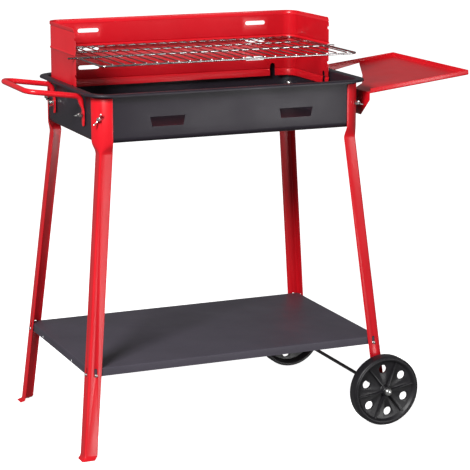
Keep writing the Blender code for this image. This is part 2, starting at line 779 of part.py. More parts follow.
def wheel_mesh():
    """A wheel built along +Z, with its tyre's outer face on z = 0."""
    rim = WHEEL_RADIUS - WHEEL_TYRE
    web_low = -WHEEL_DISH - WHEEL_WEB
    profile = [
        (WHEEL_BORE, WHEEL_HUB_OUT),
        (0.012, WHEEL_HUB_OUT),
        (0.014, WHEEL_HUB_OUT - 0.002),
        (0.015, -WHEEL_DISH),
        (rim - 0.006, -WHEEL_DISH),
        (rim - 0.002, -0.002),
        (rim, 0.0),
        (WHEEL_RADIUS - 0.002, 0.0),
        (WHEEL_RADIUS, -0.002),
        (WHEEL_RADIUS, 0.002 - WHEEL_WIDTH),
        (WHEEL_RADIUS - 0.002, -WHEEL_WIDTH),
        (rim + 0.002, -WHEEL_WIDTH),
        (rim - 0.002, 0.004 - WHEEL_WIDTH),
        (rim - 0.006, web_low),
        (0.014, web_low),
        (0.012, -WHEEL_HUB_IN),
        (WHEEL_BORE, -WHEEL_HUB_IN),
    ]
    wheel = turned(profile, 48, hollow=True)
    ribs = []
    tools = []
    web = -WHEEL_DISH - WHEEL_WEB / 2
    rib_end = rim - 0.001
    rib = [(WHEEL_RIB_START, web), (rib_end, web), (rib_end, -WHEEL_DISH / 2), (WHEEL_RIB_START, WHEEL_RIB_RISE)]
    for i in range(WHEEL_SPOKES):
        turn = Matrix.Rotation(math.radians(WHEEL_TURN + 360.0 * i / WHEEL_SPOKES), 4, "Z")
        ribs.append(plate(rib, WHEEL_RIB, turn @ FACE_FRONT))
        half_turn = Matrix.Rotation(math.radians(180.0 / WHEEL_SPOKES), 4, "Z")
        centre = turn @ half_turn @ Vector((WHEEL_HOLE_RING, 0.0, -WHEEL_DISH))
        tools.append(hole(centre, Vector((0.0, 0.0, 1.0)), WHEEL_HOLE, sides=20))
    tools.append(rod((0.0, 0.0, -2 * WHEEL_HUB_IN), (0.0, 0.0, WHEEL_HUB_IN), WHEEL_BORE, 48))
    return cut(joined([wheel, *ribs]), tools)


def washer_mesh():
    bore, radius, thickness = WASHER
    profile = [(bore, thickness), (radius, thickness), (radius, 0.0), (bore, 0.0)]
    return baked(turned(profile, 20, hollow=True))


def cap_mesh():
    """A push-on cap with a domed top and a blind bore."""
    bore, depth = WASHER[0], AXLE_END_Y - CAP_Y + GAP
    dome = []
    for i in range(6):
        angle = math.radians(90.0 - 18.0 * i)
        dome.append((CAP_RADIUS * math.cos(angle), CAP_HEIGHT * (0.35 + 0.65 * math.sin(angle))))
    dome[0] = (0.0, CAP_HEIGHT)
    return baked(turned([*dome, (CAP_RADIUS, 0.0), (bore, 0.0), (bore, depth), (0.0, depth)], 20))


def make_wheels():
    wheel, washer, cap = wheel_mesh(), washer_mesh(), cap_mesh()
    for end, sy in ENDS.items():
        outward = Vector((0.0, sy, 0.0))
        for name, mesh, y, material in (
            (f"wheel_{end}", wheel, WHEEL_FACE_Y, "black_plastic"),
            (f"wheel_washer_{end}", washer, WASHER_Y, "zinc"),
            (f"axle_cap_{end}", cap, CAP_Y, "zinc"),
        ):
            finish(name, mesh, material, outward_place((AXLE_X, sy * y, AXLE_Z), outward))


# Fasteners, all built along +Z
def bolt_mesh(head_gap, reach):
    """A domed bolt from inside the bowl: z = 0 is the wall's outer face."""
    base = -BOWL_SHEET - head_gap
    tip = M6_RADIUS - 0.0006
    profile = [(0.0, reach), (tip, reach), (M6_RADIUS, reach - 0.0008), (M6_RADIUS, base)]
    return baked(turned([*profile, *((radius, base - drop) for radius, drop in BOLT_HEAD)], 16))


def wing_nut_mesh():
    shapes = [turned(WING_HUB, 16, hollow=True)]
    for side in (-1, 1):
        shapes.append(plate([(side * x, z) for x, z in WING_EAR], WING_SHEET, FACE_FRONT))
    return baked(joined(shapes))


def spacer_mesh(length):
    profile = [(NUT_BORE, length), (SPACER_RADIUS, length), (SPACER_RADIUS, 0.0), (NUT_BORE, 0.0)]
    return baked(turned(profile, 16, hollow=True))


def screw_mesh():
    tip = M4_RADIUS - 0.0004
    shank = [(M4_RADIUS, 0.0), (M4_RADIUS, 0.0006 - SCREW_REACH), (tip, -SCREW_REACH), (0.0, -SCREW_REACH)]
    return baked(turned([*SCREW_HEAD, *shank], 12))


def hex_nut_mesh():
    radius, thickness, bore = HEX_NUT
    nut = rod((0.0, 0.0, 0.0), (0.0, 0.0, thickness), radius, 6)
    return cut(nut, [rod((0.0, 0.0, -thickness), (0.0, 0.0, 2 * thickness), bore, 12)])


def make_wall_fasteners():
    leg_grip = 2 * GAP + LEG_SHEET
    handle_grip = HANDLE_FLAT_GAP + HANDLE_FLAT[2] + GAP
    tray_grip = TRAY_NEAR_X - BOWL_HALF_X + GAP
    nut = wing_nut_mesh()
    leg_mesh = bolt_mesh(0.001, BOLT_REACH["leg"])
    for name, sides in LEG_SIDES.items():
        place, outward = leg_bolt(*sides)
        finish(f"leg_bolt_{name}", leg_mesh, "zinc", outward_place(place, outward))
        twist = LEG_NUT_TWIST[name]
        finish(f"leg_wing_nut_{name}", nut, "zinc", outward_place(place + outward * leg_grip, outward, twist))
    handle_mesh = bolt_mesh(GAP, BOLT_REACH["handle"])
    tray_mesh = bolt_mesh(GAP, BOLT_REACH["tray"])
    spacer = spacer_mesh(tray_grip - TRAY_SHEET - 3 * GAP)
    for end, sy in ENDS.items():
        place, outward = handle_bolt(sy)
        finish(f"handle_bolt_{end}", handle_mesh, "zinc", outward_place(place, outward))
        nut_place = outward_place(place + outward * handle_grip, outward, HANDLE_NUT_TWIST[end])
        finish(f"handle_wing_nut_{end}", nut, "zinc", nut_place)
        place, outward = tray_bolt(sy)
        finish(f"tray_bolt_{end}", tray_mesh, "zinc", outward_place(place, outward))
        finish(f"tray_spacer_{end}", spacer, "zinc", outward_place(place + outward * GAP, outward))
        nut_place = outward_place(place + outward * tray_grip, outward, TRAY_NUT_TWIST[end])
        finish(f"tray_wing_nut_{end}", nut, "zinc", nut_place)


def make_shelf_fasteners():
    screw, nut = screw_mesh(), hex_nut_mesh()
    for name, (sx, sy) in LEG_SIDES.items():
        for where, (place, outward) in shelf_screws(sx, sy).items():
            head = outward_place(place + outward * SCREW_HEAD_GAP, outward)
            finish(f"shelf_screw_{name}_{where}", screw, "zinc", head)
            base = place.copy()
            if where == "end":
                base.x = sx * (SHELF_HALF_X - SHELF_SHEET - GAP)
            else:
                base.y = sy * (SHELF_HALF_Y - SHELF_SHEET - GAP)
            finish(f"shelf_nut_{name}_{where}", nut, "zinc", outward_place(base, -outward))


make_bowl()
for leg_name, leg_sides in LEG_SIDES.items():
    make_leg(leg_name, *leg_sides)
make_shelf()
make_windshield()
make_grate()
make_tray()
make_handle()
make_axle()
make_wheels()
make_wall_fasteners()
make_shelf_fasteners()
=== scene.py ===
# Charcoal barbecue trolley: the looks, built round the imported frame.
# Metres, Z up, -Y is the front. Pieces are laid out from the middle of the bowl.
import math

import bmesh
import bpy
from mathutils import Matrix, Vector


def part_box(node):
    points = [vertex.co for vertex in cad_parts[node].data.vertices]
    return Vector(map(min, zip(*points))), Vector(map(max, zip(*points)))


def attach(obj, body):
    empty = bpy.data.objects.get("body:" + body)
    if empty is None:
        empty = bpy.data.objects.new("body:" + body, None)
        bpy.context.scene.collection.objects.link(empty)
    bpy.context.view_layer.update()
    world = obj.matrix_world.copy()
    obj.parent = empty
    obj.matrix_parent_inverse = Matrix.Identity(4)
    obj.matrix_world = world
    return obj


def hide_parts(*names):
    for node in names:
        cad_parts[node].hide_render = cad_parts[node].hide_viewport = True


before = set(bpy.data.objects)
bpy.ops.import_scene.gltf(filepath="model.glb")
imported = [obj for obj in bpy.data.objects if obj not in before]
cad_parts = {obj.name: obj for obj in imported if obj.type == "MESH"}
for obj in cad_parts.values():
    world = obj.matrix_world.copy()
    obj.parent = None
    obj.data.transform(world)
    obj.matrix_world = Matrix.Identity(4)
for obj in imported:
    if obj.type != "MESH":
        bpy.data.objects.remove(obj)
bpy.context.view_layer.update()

bowlLow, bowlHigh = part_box("fire_bowl")
bowlMidX = (bowlLow.x + bowlHigh.x) / 2
axleLow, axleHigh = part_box("axle")
axleX = (axleLow.x + axleHigh.x) / 2 - bowlMidX
axleZ = (axleLow.z + axleHigh.z) / 2
touchGap = 0.0003
cutDepth = 0.012
sides = {"front_left": (-1, -1), "front_right": (1, -1), "back_left": (-1, 1), "back_right": (1, 1)}
ends = {"front": -1, "back": 1}
faceFront = Matrix.Rotation(math.radians(90), 4, "X")  # stands a flat outline up, seen from the front
faceEnd = Matrix.Rotation(math.radians(90), 4, "Z") @ faceFront
quarterTurn = Matrix.Rotation(math.radians(90), 4, "Z")


# Finishes

def startFinish(name):
    finish = bpy.data.materials.new(name)
    finish.use_nodes = True
    tree = finish.node_tree
    shader = tree.nodes["Principled BSDF"]
    place = tree.nodes.new("ShaderNodeTexCoord")
    return finish, tree, shader, place.outputs["Object"]


def noiseAt(tree, where, scale, detail=3.0, stretch=None):
    if stretch:
        mapping = tree.nodes.new("ShaderNodeMapping")
        mapping.inputs["Scale"].default_value = stretch
        tree.links.new(where, mapping.inputs["Vector"])
        where = mapping.outputs["Vector"]
    noise = tree.nodes.new("ShaderNodeTexNoise")
    noise.inputs["Scale"].default_value = scale
    noise.inputs["Detail"].default_value = detail
    tree.links.new(where, noise.inputs["Vector"])
    return noise.outputs["Fac"]


def colourBetween(tree, factor, first, second, low=0.3, high=0.7):
    ramp = tree.nodes.new("ShaderNodeValToRGB")
    ramp.color_ramp.elements[0].position = low
    ramp.color_ramp.elements[0].color = (*first, 1)
    ramp.color_ramp.elements[1].position = high
    ramp.color_ramp.elements[1].color = (*second, 1)
    tree.links.new(factor, ramp.inputs["Fac"])
    return ramp.outputs["Color"]


def numberBetween(tree, factor, first, second):
    spread = tree.nodes.new("ShaderNodeMapRange")
    spread.inputs["From Min"].default_value = 0.3
    spread.inputs["From Max"].default_value = 0.7
    spread.inputs["To Min"].default_value = first
    spread.inputs["To Max"].default_value = second
    tree.links.new(factor, spread.inputs["Value"])
    return spread.outputs["Result"]


def addBump(tree, shader, height, depth, strength):
    bump = tree.nodes.new("ShaderNodeBump")
    bump.inputs["Strength"].default_value = strength
    bump.inputs["Distance"].default_value = depth
    tree.links.new(height, bump.inputs["Height"])
    tree.links.new(bump.outputs["Normal"], shader.inputs["Normal"])


redCoat = {
    "deep": (0.66, 0.006, 0.014), "bright": (0.74, 0.010, 0.020),
    "gloss": (0.28, 0.34), "clear": 0.06, "shine": 0.40, "peel": 0.10,
}
blackCoat = {
    "deep": (0.0185, 0.0145, 0.0215), "bright": (0.0235, 0.0190, 0.0270),
    "gloss": (0.38, 0.44), "clear": 0.0, "shine": 0.35, "peel": 0.16,
}
# Shelf: the same semi-gloss black enamel, lightened to grey as a painted reflection of the bright
# surroundings on its top
shelfBlackWithPaintedSheen = {
    "deep": (0.060, 0.053, 0.070), "bright": (0.070, 0.062, 0.082),
    "gloss": (0.42, 0.50), "clear": 0.0, "shine": 0.35, "peel": 0.03,
}
moulding = {
    "deep": (0.009, 0.008, 0.010), "bright": (0.015, 0.014, 0.017), "gloss": (0.36, 0.50), "grain": 0.18,
}


def paintedFinish(name, settings):
    finish, tree, shader, where = startFinish(name)
    cloudy = noiseAt(tree, where, 9, 4)
    colour = colourBetween(tree, cloudy, settings["deep"], settings["bright"])
    tree.links.new(colour, shader.inputs["Base Color"])
    smear = noiseAt(tree, where, 14, 2)
    tree.links.new(numberBetween(tree, smear, *settings["gloss"]), shader.inputs["Roughness"])
    shader.inputs["Specular IOR Level"].default_value = settings["shine"]
    shader.inputs["Coat Weight"].default_value = settings["clear"]
    shader.inputs["Coat Roughness"].default_value = 0.12
    addBump(tree, shader, noiseAt(tree, where, 420, 2), 0.0004, settings["peel"])
    return finish


def metalFinish(name, dull, bright, gloss, scale=60, stretch=None, depth=0.0001):
    finish, tree, shader, where = startFinish(name)
    cloudy = noiseAt(tree, where, scale, 5, stretch)
    tree.links.new(colourBetween(tree, cloudy, dull, bright), shader.inputs["Base Color"])
    tree.links.new(numberBetween(tree, cloudy, *gloss), shader.inputs["Roughness"])
    shader.inputs["Metallic"].default_value = 1.0
    addBump(tree, shader, noiseAt(tree, where, scale * 6, 3, stretch), depth, 0.2)
    return finish


def mouldedFinish(name):
    finish, tree, shader, where = startFinish(name)
    cloudy = noiseAt(tree, where, 40, 5)
    colour = colourBetween(tree, cloudy, moulding["deep"], moulding["bright"])
    tree.links.new(colour, shader.inputs["Base Color"])
    tree.links.new(numberBetween(tree, cloudy, *moulding["gloss"]), shader.inputs["Roughness"])
    addBump(tree, shader, noiseAt(tree, where, 900, 3), 0.0003, moulding["grain"])
    return finish


drawnAlongY = (1, 0.05, 1)
redEnamel = paintedFinish("redEnamel", redCoat)
blackEnamel = paintedFinish("blackEnamel", blackCoat)
# the shelf's black is lightened by a painted reflection
shelfEnamelWithPaintedSheen = paintedFinish("shelfEnamelWithPaintedSheen", shelfBlackWithPaintedSheen)
chromeWire = metalFinish("chromeWire", (0.30, 0.26, 0.26), (0.62, 0.58, 0.58), (0.14, 0.26), 70)
zincPlate = metalFinish("zincPlate", (0.52, 0.52, 0.50), (0.80, 0.80, 0.79), (0.22, 0.38), 220)
darkSteel = metalFinish("darkSteel", (0.10, 0.095, 0.10), (0.17, 0.16, 0.17), (0.30, 0.45), 90, drawnAlongY)
blackPlastic = mouldedFinish("blackPlastic")
print("finishes ready")


# Mesh tools

def shapeObject(name, data):
    shape = bpy.data.objects.new(name, data)
    bpy.context.scene.collection.objects.link(shape)
    return shape


def settledMesh(shape):
    bpy.context.view_layer.update()
    seen = shape.evaluated_get(bpy.context.evaluated_depsgraph_get())
    mesh = bpy.data.meshes.new_from_object(seen)
    work = bmesh.new()
    work.from_mesh(mesh)
    bmesh.ops.remove_doubles(work, verts=work.verts, dist=0.000008)
    work.to_mesh(mesh)
    work.free()
    bpy.data.objects.remove(shape, do_unlink=True)
    return mesh


def addPiece(name, mesh, finish, body, nodes, place=None, smooth=40):
    mesh.materials.clear()
    mesh.materials.append(finish)
    mesh.shade_smooth()
    mesh.set_sharp_from_angle(angle=math.radians(smooth))
    piece = shapeObject(name, mesh)
    piece.matrix_world = Matrix.Translation((bowlMidX, 0, 0)) @ (place or Matrix.Identity(4))
    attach(piece, body)
    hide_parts(*nodes)
    return piece


def booleanMesh(shape, others, operation):
    for other in others:
        step = shape.modifiers.new("join", "BOOLEAN")
        step.operation = operation
        step.solver = "EXACT"
        step.object = other
    mesh = settledMesh(shape)
    for other in others:
        bpy.data.objects.remove(other, do_unlink=True)
    return mesh


def softEdges(mesh, width, segments=2, angle=35):
    shape = shapeObject("soften", mesh)
    step = shape.modifiers.new("soften", "BEVEL")
    step.width = width
    step.segments = segments
    step.limit_method = "ANGLE"
    step.angle_limit = math.radians(angle)
    step.harden_normals = False
    return settledMesh(shape)


def sheetShape(rows, thickness, ring=False, floor=False):
    width = len(rows[0])
    work = bmesh.new()
    grid = [[work.verts.new(point) for point in row] for row in rows]
    for upper, lower in zip(grid, grid[1:]):
        for i in range(width if ring else width - 1):
            j = (i + 1) % width
            work.faces.new((lower[i], lower[j], upper[j], upper[i]))
    if floor:
        work.faces.new(grid[-1][::-1])
    mesh = bpy.data.meshes.new("sheet")
    work.to_mesh(mesh)
    work.free()
    shape = shapeObject("sheet", mesh)
    step = shape.modifiers.new("thick", "SOLIDIFY")
    step.thickness = thickness
    step.offset = -1
    step.use_even_offset = True
    return shapeObject("sheet", settledMesh(shape))


def facing(direction):
    return Vector(direction).to_track_quat("Z", "Y").to_matrix().to_4x4()


def outwardPlace(point, outward, twist=0):
    return Matrix.Translation(point) @ facing(outward) @ Matrix.Rotation(math.radians(twist), 4, "Z")


def rodShape(start, end, radius, count=16):
    start = Vector(start)
    run = Vector(end) - start
    work = bmesh.new()
    bmesh.ops.create_cone(
        work, cap_ends=True, segments=count, radius1=radius, radius2=radius, depth=run.length,
        matrix=Matrix.Translation(start + run / 2) @ facing(run),
    )
    mesh = bpy.data.meshes.new("rod")
    work.to_mesh(mesh)
    work.free()
    return shapeObject("rod", mesh)


def holeShape(place, outward, radius, count=24):
    return rodShape(place - outward * cutDepth, place + outward * cutDepth, radius, count)


def blockShape(low, high):
    work = bmesh.new()
    size = Vector(high) - Vector(low)
    middle = Matrix.Translation((Vector(high) + Vector(low)) / 2)
    bmesh.ops.create_cube(work, size=1, matrix=middle @ Matrix.Diagonal(size).to_4x4())
    mesh = bpy.data.meshes.new("block")
    work.to_mesh(mesh)
    work.free()
    return shapeObject("block", mesh)


def plateShape(outline, thickness, place):
    curve = bpy.data.curves.new("plate", "CURVE")
    curve.dimensions = "2D"
    curve.fill_mode = "BOTH"
    curve.extrude = thickness / 2
    line = curve.splines.new("POLY")
    line.points.add(len(outline) - 1)
    for point, (x, y) in zip(line.points, outline):
        point.co = (x, y, 0, 1)
    line.use_cyclic_u = True
    mesh = settledMesh(shapeObject("plate", curve))
    mesh.transform(place)
    return shapeObject("plate", mesh)


def turnedMesh(profile, steps, hollow=False):
    count = len(profile)
    edges = [(i, i + 1) for i in range(count - 1)] + ([(count - 1, 0)] if hollow else [])
    mesh = bpy.data.meshes.new("turned")
    mesh.from_pydata([(radius, 0, z) for radius, z in profile], edges, [])
    shape = shapeObject("turned", mesh)
    step = shape.modifiers.new("turn", "SCREW")
    step.steps = steps
    step.render_steps = steps
    step.use_merge_vertices = True
    step.merge_threshold = 0.00005
    return settledMesh(shape)


def ringShift(first, second):
    # How far to turn the second ring so that its corners meet the first ring's
    count = len(first)

    def apart(shift):
        return sum((first[k].co - second[(k + shift) % count].co).length for k in range(count))

    return min(range(count), key=apart)


def joinRings(work, first, second, shift):
    count = len(first)
    for k in range(count):
        n = (k + 1) % count
        work.faces.new((first[k], first[n], second[(n + shift) % count], second[(k + shift) % count]))


def tubeShape(points, radii, count=16, closed=False):
    # A round wire through points; radii is one number or one for each point.
    points = [Vector(point) for point in points]
    if not hasattr(radii, "__len__"):
        radii = [radii] * len(points)
    work = bmesh.new()
    rings = []
    side = None
    last = len(points) - 1
    for i, point in enumerate(points):
        before = points[i - 1] if (i or closed) else point
        after = points[(i + 1) % len(points)] if (i < last or closed) else point
        along = (after - before).normalized()
        if side is None:
            side = along.orthogonal().normalized()
        side = (side - along * side.dot(along)).normalized()
        up = along.cross(side)
        ring = []
        for k in range(count):
            angle = 2 * math.pi * k / count
            ring.append(work.verts.new(point + (side * math.cos(angle) + up * math.sin(angle)) * radii[i]))
        rings.append(ring)
    pairs = list(zip(rings, rings[1:])) + ([(rings[-1], rings[0])] if closed else [])
    for first, second in pairs:
        closing = closed and second is rings[0]
        joinRings(work, first, second, ringShift(first, second) if closing else 0)
    if not closed:
        work.faces.new(rings[0][::-1])
        work.faces.new(rings[-1])
    mesh = bpy.data.meshes.new("tube")
    work.to_mesh(mesh)
    work.free()
    return shapeObject("tube", mesh)


def arcPoints(centre, radius, start, end, steps):
    points = []
    for i in range(steps + 1):
        angle = math.radians(start + (end - start) * i / steps)
        points.append((centre[0] + radius * math.cos(angle), centre[1] + radius * math.sin(angle)))
    return points


def roundedLoop(halfX, halfY, corner, steps=10):
    points = []
    for quarter, (sx, sy) in enumerate(((1, 1), (-1, 1), (-1, -1), (1, -1))):
        centre = (sx * (halfX - corner), sy * (halfY - corner))
        points += arcPoints(centre, corner, 90 * quarter, 90 * quarter + 90, steps)
    return points


def slotOutline(length, width, steps=8):
    reach = (length - width) / 2
    right = arcPoints((reach, 0), width / 2, -90, 90, steps)
    left = arcPoints((-reach, 0), width / 2, 90, 270, steps)
    return right + left


def bentPath(corners, radius, steps=10):
    path = [Vector(corners[0])]
    for before, corner, after in zip(corners, corners[1:], corners[2:]):
        corner = Vector(corner)
        back = (Vector(before) - corner).normalized()
        ahead = (Vector(after) - corner).normalized()
        half = back.angle(ahead) / 2
        reach = radius / math.tan(half)
        centre = corner + (back + ahead).normalized() * radius / math.sin(half)
        start = corner + back * reach - centre
        end = corner + ahead * reach - centre
        for i in range(steps + 1):
            path.append(centre + start.lerp(end, i / steps).normalized() * radius)
    path.append(Vector(corners[-1]))
    return path


# Bolt places: a point on the bowl wall's outer face, and the way out

bowl = {
    "halfX": 0.308, "halfY": 0.1835, "corner": 0.036, "bottomZ": 0.672, "edge": 0.012, "sheet": 0.0012,
    "rimZ": 0.778, "rimWidth": 0.018, "rimCorner": 0.052, "rimLip": 0.005, "rimFold": 0.003,
    "ventX": 0.150, "ventZ": 0.714, "ventTop": 0.080, "ventBottom": 0.071, "ventHeight": 0.021,
    "boltZ": 0.725, "boltHole": 0.0034,
}


def legBolt(sx, sy):
    outward = Vector((sx, sy, 0)).normalized()
    corner = bowl["corner"]
    middle = Vector((sx * (bowl["halfX"] - corner), sy * (bowl["halfY"] - corner), bowl["boltZ"]))
    return middle + outward * corner, outward


def handleBolt(sy):
    return Vector((-bowl["halfX"], sy * handle["halfY"], bowl["boltZ"])), Vector((-1, 0, 0))


def trayBolt(sy):
    return Vector((bowl["halfX"], sy * tray["boltY"], tray["boltZ"])), Vector((1, 0, 0))


# Side handle

handle = {
    "halfY": 0.100, "gripX": -0.432, "gripZ": 0.780, "kneeX": -0.315, "kneeZ": 0.7643, "radius": 0.006,
    "riseZ": 0.7495, "kneeBend": 0.014, "gripStart": 0.030, "gripDrop": 0.0033, "gripBend": 0.0285,
    "flatX": 0.0026, "flatWidth": 0.0085, "flatThick": 0.002,
    # Each flattened ring: its height, how flat it is, and how wide, to round the tip
    "flatRings": (
        (0.7005, 1.0, 0.55), (0.7030, 1.0, 0.88), (0.712, 1.0, 1.0), (0.722, 1.0, 1.0),
        (0.732, 1.0, 1.0), (0.738, 0.85, 1.0), (0.744, 0.4, 1.0),
    ),
}


def handlePath():
    kneeX, frontY, gripX, gripZ = handle["kneeX"], -handle["halfY"], handle["gripX"], handle["gripZ"]
    knee = [
        (kneeX, frontY, handle["riseZ"]), (kneeX, frontY, handle["kneeZ"]),
        (gripX + handle["gripStart"], frontY, gripZ - handle["gripDrop"]),
    ]
    near = bentPath(knee, handle["kneeBend"])
    corner = bentPath([near[-1], (gripX, frontY, gripZ), (gripX, 0, gripZ)], handle["gripBend"])
    half = near[:-1] + corner[1:]
    return half + [Vector((p.x, -p.y, p.z)) for p in half[-2::-1]]


def makeHandle():
    # The ends are flattened: rings go from round to a wide, thin oval.
    path = handlePath()
    work = bmesh.new()
    count = 20
    flatX = -bowl["halfX"] - handle["flatX"]
    rings = []

    def ring(point, along, side, wide, thick):
        up = along.cross(side).normalized()
        made = []
        for k in range(count):
            angle = 2 * math.pi * k / count
            offset = up * math.cos(angle) * wide + side * math.sin(angle) * thick
            made.append(work.verts.new(point + offset))
        return made

    def flatRings(y, order):
        for z, flat, tip in order:
            x = flatX * flat + handle["kneeX"] * (1 - flat)
            wide = (handle["flatWidth"] * flat + handle["radius"] * (1 - flat)) * tip
            thick = handle["flatThick"] * flat + handle["radius"] * (1 - flat)
            along = Vector((0, 0, 1 if y < 0 else -1))
            rings.append(ring(Vector((x, y, z)), along, Vector((1, 0, 0)), wide, thick))

    flatRings(-handle["halfY"], handle["flatRings"])
    side = Vector((1, 0, 0))
    for i in range(1, len(path) - 1):
        along = (path[i + 1] - path[i - 1]).normalized()
        side = (side - along * side.dot(along)).normalized()
        rings.append(ring(path[i], along, side, handle["radius"], handle["radius"]))
    flatRings(handle["halfY"], handle["flatRings"][::-1])
    for first, second in zip(rings, rings[1:]):
        joinRings(work, first, second, ringShift(first, second))
    work.faces.new(rings[0][::-1])
    work.faces.new(rings[-1])
    bmesh.ops.recalc_face_normals(work, faces=work.faces)
    mesh = bpy.data.meshes.new("handle")
    work.to_mesh(mesh)
    work.free()
    shape = shapeObject("handle", mesh)
    cuts = [holeShape(*handleBolt(sy), bowl["boltHole"]) for sy in ends.values()]
    mesh = booleanMesh(shape, cuts, "DIFFERENCE")
    addPiece("sideHandle", mesh, redEnamel, "trolley", ["side_handle"])


# Fire bowl

def ventCutter(x):
    high = bowl["ventHeight"] / 2
    outline = [
        (x - bowl["ventBottom"] / 2, -high), (x + bowl["ventBottom"] / 2, -high),
        (x + bowl["ventTop"] / 2, high), (x - bowl["ventTop"] / 2, high),
    ]
    return plateShape(outline, cutDepth, Matrix.Translation((0, -bowl["halfY"], bowl["ventZ"])) @ faceFront)


def makeBowl():
    lip = bowl["rimWidth"] - bowl["sheet"]
    under = bowl["rimZ"] - bowl["sheet"]
    fold = bowl["rimFold"]
    rimCorner = bowl["rimCorner"]
    levels = [(-lip, bowl["rimZ"] - bowl["rimLip"], rimCorner), (-lip, under - fold / 2, rimCorner)]
    for i in range(1, 5):
        angle = math.radians(90 * i / 4)
        step = fold / 2 * (1 - math.cos(angle))
        levels.append((-lip + step, under - fold / 2 * (1 - math.sin(angle)), rimCorner - step))
    for i in range(6):
        angle = math.radians(90 * i / 5)
        step = fold * (1 - math.sin(angle))
        levels.append((-step, under - fold * (1 - math.cos(angle)), bowl["corner"] + step))
    for i in range(7):
        angle = math.radians(90 * i / 6)
        inset = bowl["edge"] * (1 - math.cos(angle))
        z = bowl["bottomZ"] + bowl["edge"] * (1 - math.sin(angle))
        levels.append((inset, z, bowl["corner"] - inset))
    rows = []
    for inset, z, corner in levels:
        outline = roundedLoop(bowl["halfX"] - inset, bowl["halfY"] - inset, corner)
        rows.append([(x, y, z) for x, y in outline])
    shape = sheetShape(rows, bowl["sheet"], ring=True, floor=True)
    bolts = [legBolt(*side) for side in sides.values()]
    for sy in ends.values():
        bolts += [handleBolt(sy), trayBolt(sy)]
    cuts = [holeShape(place, outward, bowl["boltHole"]) for place, outward in bolts]
    cuts += [ventCutter(-bowl["ventX"]), ventCutter(bowl["ventX"])]
    mesh = booleanMesh(shape, cuts, "DIFFERENCE")
    addPiece("fireBowl", mesh, blackEnamel, "trolley", ["fire_bowl"])


# Legs

leg = {
    "sheet": 0.0015, "flange": 0.028, "topZ": 0.768, "wrapEndZ": 0.676, "wrapSteps": 7,
    "kinkZ": 0.648, "kink": (0.3005, 0.1755), "foot": (0.366, 0.234), "fold": 0.004,
    "flare": 0.008, "flareStart": 0.0012, "flareZ": 0.0065, "flareRun": 0.004, "toeZ": 0.0017,
    "axleEndZ": 0.056, "axleHole": 0.0044,
}
shelf = {
    "topZ": 0.1957, "halfX": 0.3441, "halfY": 0.2140, "flange": 0.018,
    "sheet": 0.001, "corner": 0.006, "fold": 0.002,
    "spareHoles": (-0.088, 0.120), "spareHole": 0.003,
    "screwZ": 0.1815, "screwInset": 0.016, "screwHole": 0.0024,
    "slotZ": 0.1875, "slotHeight": 0.018, "slotWidth": 0.007,
}


def legCorner(z):
    t = (leg["kinkZ"] - z) / leg["kinkZ"]
    return tuple(top + (foot - top) * t for top, foot in zip(leg["kink"], leg["foot"]))


def stripSection(fold, radius):
    reach = min(leg["flange"] * 6 / 7, radius * math.pi / 4)
    bend = math.degrees(reach / radius)
    middle = arcPoints((fold[0] - radius, fold[1] - radius), radius, 45 - bend, 45 + bend, 10)
    straight = leg["flange"] - reach
    turn = math.radians(45 - bend)
    first = (middle[0][0] + straight * math.sin(turn), middle[0][1] - straight * math.cos(turn))
    last = (middle[-1][0] - straight * math.cos(turn), middle[-1][1] + straight * math.sin(turn))
    return [first, *middle, last]


def shelfScrews(sx, sy):
    x, y = legCorner(shelf["screwZ"])
    return {
        "end": (Vector((sx * x, sy * (y - shelf["screwInset"]), shelf["screwZ"])), Vector((sx, 0, 0))),
        "face": (Vector((sx * (x - shelf["screwInset"]), sy * y, shelf["screwZ"])), Vector((0, sy, 0))),
    }


def legSlot(place, outward):
    turn = faceFront if outward.y else faceEnd
    centre = Matrix.Translation((place.x, place.y, shelf["slotZ"]))
    outline = slotOutline(shelf["slotHeight"], shelf["slotWidth"])
    return plateShape(outline, cutDepth, centre @ turn @ quarterTurn)


def makeLeg(name, sx, sy):
    outside = touchGap + leg["sheet"]
    wrap = (bowl["halfX"] + outside, bowl["halfY"] + outside)
    bendRadius = bowl["corner"] + outside
    levels = [(leg["topZ"], wrap, bendRadius), (leg["wrapEndZ"], wrap, bendRadius)]
    for i in range(1, leg["wrapSteps"]):
        t = i / leg["wrapSteps"]
        ease = t * t * (3 - 2 * t)
        z = leg["wrapEndZ"] + (leg["kinkZ"] - leg["wrapEndZ"]) * t
        corner = tuple(a + (b - a) * ease for a, b in zip(wrap, leg["kink"]))
        levels.append((z, corner, bendRadius + (leg["fold"] - bendRadius) * ease))
    levels.append((leg["kinkZ"], leg["kink"], leg["fold"]))
    if sx > 0:
        levels.append((leg["axleEndZ"], legCorner(leg["axleEndZ"]), leg["fold"]))
    else:
        flared = tuple(value + leg["flare"] for value in leg["foot"])
        high = leg["flareZ"] + leg["flareRun"]
        levels.append((high, legCorner(high), leg["fold"]))
        low = tuple(value + leg["flareStart"] for value in legCorner(leg["flareZ"]))
        levels.append((leg["flareZ"], low, leg["fold"]))
        levels.append((leg["toeZ"], flared, leg["fold"]))
    rows = []
    for z, fold, radius in levels:
        row = [(sx * x, sy * y, z) for x, y in stripSection(fold, radius)]
        rows.append(row if sx * sy > 0 else row[::-1])
    shape = sheetShape(rows, leg["sheet"])
    cuts = [holeShape(*legBolt(sx, sy), bowl["boltHole"])]
    cuts += [legSlot(*screw) for screw in shelfScrews(sx, sy).values()]
    if sx > 0:
        place = Vector((axleX, sy * legCorner(axleZ)[1], axleZ))
        cuts.append(holeShape(place, Vector((0, 1, 0)), leg["axleHole"]))
    mesh = softEdges(booleanMesh(shape, cuts, "DIFFERENCE"), 0.00035, 2, 50)
    label = "leg" + name.title().replace("_", "")
    addPiece(label, mesh, redEnamel, "trolley", [f"leg_{name}"], smooth=50)


# Lower shelf

